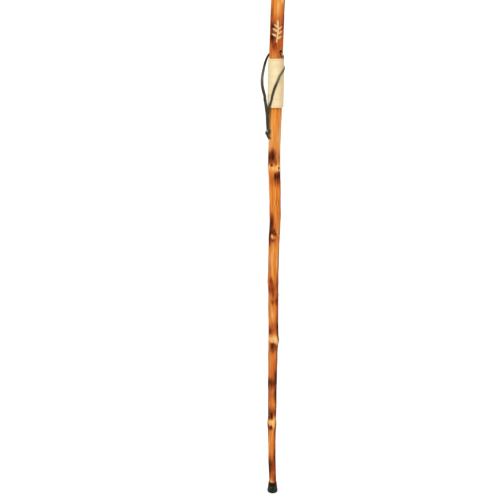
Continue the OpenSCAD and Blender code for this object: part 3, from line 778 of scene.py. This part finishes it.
surface = {
    "char_and_shade": np.maximum.reduce([scorched_and_shaded, cover(SPOTS, skin[:, 2], degrees), in_hole]),
    "blush_and_shade": cover(BLUSH_AND_SHADE, licked, degrees),
    "pale_and_highlight": pale_and_highlight,
    "carved": np.clip(CARVED_GAIN * carved_depth(np.abs(outward), degrees, skin[:, 2]), 0, 1),
    "end_grain": (skin[:, 2] > head_top - END_GRAIN_DEPTH).astype(float),
}
for name, values in surface.items():
    mark(limb, name, values)
print("painted:", {name: round(float(values.mean()), 3) for name, values in surface.items()})

# %% [markdown]
# ## Varnished limb wood
# Stripped hardwood under a coat of satin varnish: honey wood with long orange streaks, a soft broad
# highlight, and a duller, rougher skin where it is charred. The streaks are about 5 mm wide and 90 mm
# long; the fine pores are drawn 1 mm wide, coarser than real ones, so that they show at all.

# %% Limb wood
# Heat turns the wood brown, then dark, then to charcoal, and the painted shade takes the same steps: where
# each step starts and ends, and its colour
CHAR_AND_SHADE_STEPS = [(0.03, 0.45, "#8a3c16"), (0.42, 0.8, "#46200c"), (0.75, 1.08, "#1e1006")]
# Patterns that are drawn out along the limb: their width, that width as a share of their length, their detail
LONG_PATTERNS = {"streak": (5 * MM, 0.055, 3.0), "pores": (1 * MM, 0.04, 2.0), "smoke": (4 * MM, 0.3, 4.0)}
# A limb's heart is never quite in its middle; the wave texture repeats after this length at a scale of 1
PITH = ring_waves[-1][0] + (1.8 - 1.2j) * MM
WAVE_PERIOD = 2 * math.pi / 20
RING_SPACING = 2 * MM


def limb_wood():
    material, tree, shader = new_material("satin_varnished_limb_wood")
    place = add(tree, "TexCoord").outputs["Object"]
    layer = {n: add(tree, "Attribute", attribute_name=n).outputs["Fac"] for n in surface}
    drawn = {}
    for name, (width, squeeze, detail) in LONG_PATTERNS.items():
        way = add(tree, "Mapping", {"Vector": place, "Scale": (1, 1, squeeze)})
        noise = add(tree, "TexNoise", {"Vector": way.outputs[0]}, scale=1 / width, detail=detail)
        drawn[name] = noise.outputs["Fac"]

    contrast = add(tree, "MapRange", {"Value": drawn["streak"]}, from_min=0.36, from_max=0.64)
    ripple = add(tree, "MapRange", {"Value": drawn["smoke"]}, from_min=0.3, from_max=0.7, to_min=0.75,
                 to_max=1.25, clamp=False)
    coats = [(contrast.outputs[0], "#c2651f")]
    for name, code in (("blush_and_shade", "#a8481f"), ("pale_and_highlight", "#f0cc86")):
        share = add(tree, "Math", {0: ripple.outputs[0], 1: layer[name]}, operation="MULTIPLY",
                    use_clamp=True)
        coats.append((share.outputs[0], code))
    heat_and_shade = add(tree, "Math", {0: ripple.outputs[0], 1: layer["char_and_shade"]}, operation="MULTIPLY")
    for start, end, code in CHAR_AND_SHADE_STEPS:
        burnt_and_shaded = add(tree, "MapRange", {"Value": heat_and_shade.outputs[0]}, from_min=start, from_max=end,
                    interpolation_type="SMOOTHSTEP")
        coats.append((burnt_and_shaded.outputs[0], code))
    coats.append((layer["carved"], "#e8c894"))
    colour = srgb("#e8953d")
    for factor, code in coats:
        colour = add(tree, "Mix", {FACTOR: factor, UNDER: colour, OVER: srgb(code)},
                     data_type="RGBA").outputs[MIXED]

    fine = add(tree, "MapRange", {"Value": drawn["pores"]}, from_min=0.36, from_max=0.62, to_min=0.9,
               to_max=1.04)
    grained = add(tree, "Mix", {FACTOR: 1.0, UNDER: colour, OVER: fine.outputs[0]}, data_type="RGBA",
                  blend_type="MULTIPLY")
    pith_way = add(tree, "Mapping", {"Vector": place, "Location": (-PITH.real, -PITH.imag, 0)})
    rings = add(tree, "TexWave", {"Vector": pith_way.outputs[0]}, wave_type="RINGS", rings_direction="Z",
                wave_profile="SAW", scale=WAVE_PERIOD / RING_SPACING, distortion=2.5, detail=2.0,
                detail_scale=1.0)
    end_wood = add(tree, "Mix", {FACTOR: rings.outputs["Fac"], UNDER: srgb("#f2bf78"), OVER: srgb("#c98342")},
                   data_type="RGBA")
    whole = add(tree, "Mix", {FACTOR: layer["end_grain"], UNDER: grained.outputs[MIXED],
                              OVER: end_wood.outputs[MIXED]}, data_type="RGBA")
    dull = add(tree, "MapRange", {"Value": burnt_and_shaded.outputs[0]}, to_min=0.48, to_max=0.62)
    bump = add(tree, "Bump", {"Height": drawn["pores"]}, strength=0.35, distance=0.25 * MM)
    wire(tree, shader, {"Base Color": whole.outputs[MIXED], "Roughness": dull.outputs[0],
                        "Normal": bump.outputs["Normal"], "Specular IOR Level": 0.05})
    return material


limb.data.materials.clear()
limb.data.shade_smooth()
limb.data.set_sharp_from_angle(angle=math.radians(LIMB_SHARP))
dress(limb, limb_wood(), "staff", "shaft")

# %% [markdown]
# ## The leather sleeve
# A sleeve is one strip of leather, wrapped round the limb and sewn edge to edge at the back. Its ends are
# folded into hems. Spinning the profile almost all the way round leaves the open seam. Leather pulls
# towards its stitches and is never quite even, so the surface gets shallow ripples and stands out a
# little between the hems, and the lower edge wavers.

# %% Sleeve
SLEEVE_STEPS = 120
HEM_PROUD = 0.3 * MM
HEM_HEIGHT = 3.2 * MM
FIT_GAP = 0.2 * MM
SEAM_WIDTH = 0.8 * MM
RIPPLE = 0.12 * MM
EDGE_WAVER = 0.45 * MM
BELLY = 0.5 * MM
# How far below the top the painted shade line under the upper hem lies, and its half height
FOLD_DROP = 4.8 * MM
FOLD_HALF = 0.7 * MM
BODY_ROWS, BORE_ROWS = 32, 12
RIPPLE_WAVES = [(1, 2, 290, 0), (0.6, -3, 710, 1)]
# The lower edge's waver: how high it fades out, its waves round the sleeve and their start
WAVER_FADE, WAVER_COUNT, WAVER_START = 12 * MM, 3, 0.8
# The hem's outline: shares of its height, and of how far it stands proud
HEM_SHARES = [(0.0, -2.0), (0.15, -0.4), (0.4, 0.6), (0.7, 1.0), (0.9, 0.7), (1.0, -0.5), (1.2, 0.0),
              (1.5, 0.0), (2.0, 0.0)]
# Where it is painted darker, in the form of the flame's tables: painted shade down its sides and on its
# right, and handling marks at the back
HANDLED_AND_SHADED = [
    (1230, -22, 14, 24, 30, 0.45), (1180, -46, 80, 80, 32, 0.34), (1180, -4, 60, 60, 20, 0.45),
    (1180, -178, 60, 60, 14, 0.3), (1170, 60, 50, 50, 30, 0.3), (1190, 130, 40, 40, 34, 0.35),
]

sleeve_low, sleeve_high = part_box("grip_sleeve")
hem_radius = (sleeve_high.x - sleeve_low.x) / 2
sleeve_radius = hem_radius - HEM_PROUD
low_hem = [(sleeve_radius + out * HEM_PROUD, sleeve_low.z + up * HEM_HEIGHT) for up, out in HEM_SHARES]
high_hem = [(r, sleeve_low.z + sleeve_high.z - z) for r, z in reversed(low_hem)]
body = [(sleeve_radius, z) for z in np.linspace(low_hem[-1][1], high_hem[0][1], BODY_ROWS)[1:-1]]
bore_heights = np.linspace(sleeve_high.z, sleeve_low.z, BORE_ROWS)
bore = through(ring_heights, np.abs(ring_waves[:, 1:2]), bore_heights)[:, 0] + FIT_GAP
profile = low_hem + body + high_hem + list(zip(bore, bore_heights))
seam_half = SEAM_WIDTH / 2 / sleeve_radius
axis_x, axis_y = HOLE_MIDDLE[:2]


def belly(z):
    """How far the soft leather stands out between its hems."""
    return BELLY * math.sin(math.pi * min(1, max(0, (z - sleeve_low.z) / (sleeve_high.z - sleeve_low.z))))


bm = bmesh.new()
start = math.pi / 2 + seam_half
rail = [bm.verts.new((axis_x + r * math.cos(start), axis_y + r * math.sin(start), z)) for r, z in profile]
rim = [bm.edges.new((a, b)) for a, b in zip(rail, rail[1:] + rail[:1])]
turned = bmesh.ops.spin(bm, geom=rail + rim, cent=(axis_x, axis_y, 0), axis=(0, 0, 1),
                        angle=2 * math.pi - 2 * seam_half, steps=SLEEVE_STEPS)["geom_last"]
for ends in (rim, only(turned, bmesh.types.BMEdge)):
    bmesh.ops.contextual_create(bm, geom=ends)
for vert in bm.verts:
    x, y, z = vert.co.x - axis_x, vert.co.y - axis_y, vert.co.z
    bearing, reach_out = math.atan2(y, x), math.hypot(x, y)
    up = z - sleeve_low.z
    if reach_out > sleeve_radius - 2 * HEM_PROUD:
        proud = RIPPLE * waves_over(RIPPLE_WAVES, bearing, up) + belly(z)
        vert.co.x += proud * x / reach_out
        vert.co.y += proud * y / reach_out
    fade = max(0.0, 1 - up / WAVER_FADE)
    vert.co.z += EDGE_WAVER * fade * math.sin(WAVER_COUNT * bearing + WAVER_START) * math.cos(bearing)
bmesh.ops.recalc_face_normals(bm, faces=bm.faces)
sleeve = finish_piece(bm, "leather_sleeve", sharp_degrees=50)
spots = points_of(sleeve)
# A painted shade line under the upper hem, and painted shade down the sides and on the right, with handling
# marks at the back
fold_shade = np.exp(-((sleeve_high.z - spots[:, 2] - FOLD_DROP) / FOLD_HALF) ** 2)
handled_and_shaded = cover(HANDLED_AND_SHADED, spots[:, 2], np.degrees(np.arctan2(spots[:, 1] - axis_y, spots[:, 0] - axis_x)))
mark(sleeve, "grime_and_shade", np.maximum(fold_shade, handled_and_shaded))
print("sleeve:", len(sleeve.data.polygons), "faces, radius", round(sleeve_radius / MM, 1), "mm")

# %% [markdown]
# Undyed, chalk-tanned leather is a warm cream, matt, and yellows a little in patches as hands oil it. Its
# grain is a mesh of small cells, drawn 1.3 mm wide, coarser than real ones, so that they show. Faint
# creases run round the sleeve, painted a little darker as their shade. A painted shade line lies under the
# upper hem, its sides and its right are painted darker as shade, and hands leave it darker at the back.

# %% Cream leather
PATCH, CELL, CREASE = 22 * MM, 1.3 * MM, 5 * MM
CREASE_STRETCH = 0.15


def cream_leather():
    material, tree, shader = new_material("chalk_tanned_cream_leather")
    place = add(tree, "TexCoord").outputs["Object"]
    patch = add(tree, "TexNoise", {"Vector": place}, scale=1 / PATCH, detail=3.0)
    cells = add(tree, "TexVoronoi", {"Vector": place}, scale=1 / CELL)
    round_way = add(tree, "Mapping", {"Vector": place, "Scale": (CREASE_STRETCH, CREASE_STRETCH, 1)})
    crease = add(tree, "TexNoise", {"Vector": round_way.outputs[0]}, scale=1 / CREASE, detail=3.0)
    tan = add(tree, "Mix", {FACTOR: patch.outputs["Fac"], UNDER: srgb("#ecdcb2"), OVER: srgb("#dcc494")},
              data_type="RGBA")
    # The creases are painted a little darker, as their shade
    line = add(tree, "MapRange", {"Value": crease.outputs["Fac"]}, from_min=0.36, from_max=0.5, to_min=0.94,
               to_max=1.0)
    crease_shaded = add(tree, "Mix", {FACTOR: 1.0, UNDER: tan.outputs[MIXED], OVER: line.outputs[0]},
                  data_type="RGBA", blend_type="MULTIPLY")
    grime_and_shade = add(tree, "Attribute", attribute_name="grime_and_shade")
    soiled_and_shaded = add(tree, "Mix", {FACTOR: grime_and_shade.outputs["Fac"], UNDER: crease_shaded.outputs[MIXED],
                               OVER: srgb("#dfb77e")}, data_type="RGBA")
    height = add(tree, "Math", {0: cells.outputs["Distance"], 1: crease.outputs["Fac"]})
    bump = add(tree, "Bump", {"Height": height.outputs[0]}, strength=0.3, distance=0.2 * MM)
    wire(tree, shader, {"Base Color": soiled_and_shaded.outputs[MIXED], "Normal": bump.outputs["Normal"],
                        "Roughness": 0.72, "Specular IOR Level": 0.3})
    return material


dress(sleeve, cream_leather(), "staff", "grip_sleeve")

# %% [markdown]
# ## Herringbone stitches
# The seam is drawn shut with waxed linen thread, one slanting stitch after another. Each stitch is two
# plies twisted round each other, and it dives into the leather at both ends.

# %% Stitches
STITCHES = 14
STITCH_LENGTH = 8 * MM
STITCH_TILT = math.radians(22)
THREAD = 1.2 * MM
PLY_TURNS = 2.5
STITCH_POINTS = 17
# How deep a stitch's ends dive, in thread widths, and how suddenly
DIVE, DIVE_POWER = 0.9, 10
pitch = (sleeve_high.z - sleeve_low.z - 2 * HEM_HEIGHT) / STITCHES

bm = bmesh.new()
for i in range(STITCHES):
    tilt = STITCH_TILT * (1 if i % 2 else -1)
    middle_z = sleeve_low.z + HEM_HEIGHT + pitch * (i + 0.5)
    t = np.linspace(-1, 1, STITCH_POINTS)
    side = t * STITCH_LENGTH / 2
    seat = sleeve_radius + belly(middle_z) + THREAD * (0.5 - DIVE * np.abs(t) ** DIVE_POWER)
    bearing = math.pi / 2 - side * math.cos(tilt) / sleeve_radius
    outward = np.stack([np.cos(bearing), np.sin(bearing), 0 * t], 1)
    line = outward * seat[:, None] + np.array([axis_x, axis_y, middle_z])
    line[:, 2] += side * math.sin(tilt)
    for ply in (0, math.pi):
        twist = ply + 2 * math.pi * PLY_TURNS * (t + 1) / 2
        offset = outward * np.sin(twist)[:, None] + np.array([0, 0, 1]) * np.cos(twist)[:, None]
        sweep(bm, frames_along(line + offset * THREAD / 4, outward), THREAD / 2, THREAD / 2)
stitching = finish_piece(bm, "seam_stitches")
print("stitches:", STITCHES, "of two plies,", len(stitching.data.polygons), "faces")

# %% [markdown]
# Waxed linen is a dull straw colour, with little shine.

# %% Linen thread
FIBRE = 0.6 * MM
linen, tree, shader = new_material("waxed_linen_thread")
place = add(tree, "TexCoord").outputs["Object"]
fibre = add(tree, "TexNoise", {"Vector": place}, scale=1 / FIBRE, detail=2.0)
straw = add(tree, "Mix", {FACTOR: fibre.outputs["Fac"], UNDER: srgb("#d8c394"), OVER: srgb("#b09a68")},
            data_type="RGBA")
wire(tree, shader, {"Base Color": straw.outputs[MIXED], "Roughness": 0.6})
dress(stitching, linen, "staff", "grip_stitching")

# %% [markdown]
# ## The rubber ferrule
# The ferrule is a moulded rubber foot, so it is round: one profile, spun. It has a rounded edge, a short
# band, a bell with two ribs, a rounded mouth that grips the wood, and a tread of two grooves in the sole.

# %% Ferrule
PRESS_GAP = 0.05 * MM
RUBBER_WALL = 2 * MM
BORE_RADIUS = tip_radius + PRESS_GAP
RIM_RADIUS = BORE_RADIUS + RUBBER_WALL
FLARE, FLARE_POWER = 2.8 * MM, 1.4
BASE_RADIUS = RIM_RADIUS + FLARE
EDGE_ROUND = 3.2 * MM
BAND_HEIGHT = 6 * MM
LIP = 1 * MM
RIB_RADIUS = 0.8 * MM
RIB_PROUD_SHARE = 0.6
RIB_SHARES = (0.08, 0.54)
# Rings of painted highlight: their heights as shares of the bell, their half height, their mean strength and
# its waves
RIB_HIGHLIGHT_SHARES = (0.08, 0.31, 0.54)
RIB_HIGHLIGHT_HALF = 0.8 * MM
RIB_HIGHLIGHT_MEAN = 0.6
RIB_HIGHLIGHT_WAVES = [(0.4, 5, 900, 0)]
TREAD_SHARES = (0.42, 0.72)
TREAD_HALF, TREAD_DEPTH = 0.8 * MM, 1.2 * MM
SOLE = tip_low.z
EDGE_POINTS, BELL_POINTS, LIP_POINTS = 9, 70, 11
FERRULE_STEPS = 96

bell_top = ferrule_top - LIP
profile = [(0, 0)]
for share in TREAD_SHARES:
    inner, outer = share * BASE_RADIUS - TREAD_HALF, share * BASE_RADIUS + TREAD_HALF
    profile += [(inner, 0), (inner, TREAD_DEPTH), (outer, TREAD_DEPTH), (outer, 0)]
for a in np.linspace(0, math.pi / 2, EDGE_POINTS):
    profile.append((BASE_RADIUS - EDGE_ROUND * (1 - math.sin(a)), EDGE_ROUND * (1 - math.cos(a))))
for u in np.linspace(0, 1, BELL_POINTS):
    z = BAND_HEIGHT + u * (bell_top - BAND_HEIGHT)
    r = RIM_RADIUS + FLARE * (1 - u) ** FLARE_POWER
    for share in RIB_SHARES:
        away = (z - BAND_HEIGHT - share * (bell_top - BAND_HEIGHT)) / RIB_RADIUS
        r += RIB_PROUD_SHARE * RIB_RADIUS * math.sqrt(max(0.0, 1 - away * away))
    profile.append((r, z))
for a in np.linspace(0, math.pi, LIP_POINTS)[1:]:
    profile.append((BORE_RADIUS + LIP + LIP * math.cos(a), bell_top + LIP * math.sin(a)))
profile += [(BORE_RADIUS, SOLE), (0, SOLE)]

bm = bmesh.new()
rail = [bm.verts.new((r, 0, z)) for r, z in profile]
rim = [bm.edges.new(pair) for pair in zip(rail, rail[1:])]
bmesh.ops.spin(bm, geom=rail + rim, cent=(0, 0, 0), axis=(0, 0, 1), angle=2 * math.pi,
               steps=FERRULE_STEPS, use_merge=True)
bmesh.ops.remove_doubles(bm, verts=bm.verts, dist=MERGE_DISTANCE)
bmesh.ops.recalc_face_normals(bm, faces=bm.faces)
foot = finish_piece(bm, "rubber_ferrule", sharp_degrees=50)
# Painted highlight in rings along the ribs and between them
highlight_rings = [BAND_HEIGHT + share * (bell_top - BAND_HEIGHT) for share in RIB_HIGHLIGHT_SHARES]
spots = points_of(foot)
rib_light = sum(np.exp(-((spots[:, 2] - line) / RIB_HIGHLIGHT_HALF) ** 2) for line in highlight_rings)
rib_light *= RIB_HIGHLIGHT_MEAN + waves_over(RIB_HIGHLIGHT_WAVES, np.arctan2(spots[:, 1], spots[:, 0]), spots[:, 2])
mark(foot, "rib_highlight", rib_light)
print("ferrule:", len(foot.data.polygons), "faces,", round(2 * BASE_RADIUS / MM, 1), "mm across")

# %% [markdown]
# Natural rubber filled with carbon black is a soft charcoal with a hint of olive. It is rough, has a fine
# moulded grain of about half a millimetre, and is painted a lighter olive in rings along its ribs and between
# them, as painted highlights.

# %% Rubber
GRAIN = 0.5 * MM
rubber, tree, shader = new_material("carbon_black_rubber")
place = add(tree, "TexCoord").outputs["Object"]
grain = add(tree, "TexNoise", {"Vector": place}, scale=1 / GRAIN, detail=2.0)
bump = add(tree, "Bump", {"Height": grain.outputs["Fac"]}, strength=0.3, distance=0.1 * MM)
rib_highlight = add(tree, "Attribute", attribute_name="rib_highlight")
lit_ribs = add(tree, "Mix", {FACTOR: rib_highlight.outputs["Fac"], UNDER: srgb("#0c0d07"), OVER: srgb("#565639")},
            data_type="RGBA")
wire(tree, shader, {"Base Color": lit_ribs.outputs[MIXED], "Normal": bump.outputs["Normal"], "Roughness": 0.5,
                    "Specular IOR Level": 0.12})
dress(foot, rubber, "staff", "ferrule")

# %% [markdown]
# The washer inside the ferrule keeps the wood from punching through the sole. The frame's own disc is
# exact, so it only needs its steel: plain, bright and finely brushed.

# %% Washer steel
BRUSHING = 0.8 * MM
steel, tree, shader = new_material("plain_steel")
place = add(tree, "TexCoord").outputs["Object"]
brushing = add(tree, "TexNoise", {"Vector": place}, scale=1 / BRUSHING, detail=2.0)
sheen = add(tree, "MapRange", {"Value": brushing.outputs["Fac"]}, to_min=0.25, to_max=0.45)
wire(tree, shader, {"Base Color": srgb("#b9b9b6"), "Metallic": 1.0, "Roughness": sheen.outputs[0]})
washer = frame["nodes"]["ferrule_washer"]
washer.data.materials.clear()
washer.data.materials.append(steel)
print("washer wears", steel.name)

# %% [markdown]
# ## Floor, sweep and light
# A translucent white sweep runs from under the staff up behind it, lit through from below and behind as on
# a product table, so that no horizon and no shadow shows. Two tall softboxes, the left one stronger,
# model the round limb, a weak one overhead lights its end, and a dim world fills the shadows. Past the
# edge of the paper, where the view from another side looks, the same world shows as a white wall.

# %% Paper sweep
SWEEP_WIDTH = 8.0
SWEEP_FRONT, SWEEP_BACK = -3.5, 2.2
SWEEP_RADIUS = 1.5
SWEEP_HEIGHT = 3.0
CURL_STEPS = 24
PAPER_GLOW = 0.47


def run_out(bm, edges, shift):
    """Extrudes edges by a shift and gives the new ones."""
    made = bmesh.ops.extrude_edge_only(bm, edges=edges)["geom"]
    bmesh.ops.translate(bm, vec=shift, verts=only(made, bmesh.types.BMVert))
    return only(made, bmesh.types.BMEdge)


bm = bmesh.new()
corners = [bm.verts.new((x * SWEEP_WIDTH / 2, SWEEP_FRONT, 0)) for x in (-1, 1)]
edge = run_out(bm, [bm.edges.new(corners)], (0, SWEEP_BACK - SWEEP_FRONT, 0))
curl = bmesh.ops.spin(bm, geom=edge, cent=(0, SWEEP_BACK, SWEEP_RADIUS), axis=(1, 0, 0), angle=math.pi / 2,
                      steps=CURL_STEPS)["geom_last"]
run_out(bm, only(curl, bmesh.types.BMEdge), (0, 0, SWEEP_HEIGHT))
paper = finish_piece(bm, "paper_sweep")
paper_white, tree, shader = new_material("backlit_white_paper")
wire(tree, shader, {"Base Color": srgb("#f6f5f3"), "Roughness": 0.9, "Emission Color": srgb("#ffffff"),
                    "Emission Strength": PAPER_GLOW})
paper.data.materials.append(paper_white)
paper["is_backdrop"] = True
print("sweep:", len(paper.data.polygons), "faces")

# %% Studio light
STAFF_MIDDLE = Vector((0, 0, 0.75))
FILL_STRENGTH = 0.2
# Each softbox's place, its width and height in metres, and its watts
SOFTBOXES = {
    "left_softbox": ((-1.8, -1.9, 1.6), 0.7, 2.0, 40),
    "right_softbox": ((1.8, -1.9, 1.6), 0.7, 2.0, 31),
    "overhead_softbox": ((0, 0.4, 3.6), 3.5, 3.5, 30),
}

for name, (spot, width, height, watts) in SOFTBOXES.items():
    light = bpy.data.lights.new(name, "AREA")
    light.shape = "RECTANGLE"
    light.size, light.size_y = width, height
    light.energy = watts
    lamp = bpy.data.objects.new(name, light)
    lamp.location = spot
    lamp.rotation_mode = "QUATERNION"
    lamp.rotation_quaternion = (STAFF_MIDDLE - Vector(spot)).to_track_quat("-Z", "Y")
    scene.collection.objects.link(lamp)
world = bpy.data.worlds.new("pale_room")
world.use_nodes = True
room = world.node_tree
fill = room.nodes["Background"]
wire(room, fill, {"Color": srgb("#ffffff"), "Strength": FILL_STRENGTH})
wall = add(room, "Background", {"Color": srgb("#ffffff"), "Strength": 1.0})
ray = add(room, "LightPath")
both = add(room, "MixShader", {0: ray.outputs["Is Camera Ray"], 1: fill.outputs[0], 2: wall.outputs[0]})
wire(room, room.nodes["World Output"], {"Surface": both.outputs[0]})
scene.world = world

# %% [markdown]
# ## The visual box
# The visual model's box is measured at the end, as the frame's box was at the start. The visual
# model has to stay in the frame's box.

# %% Sizes and finish
low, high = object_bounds()
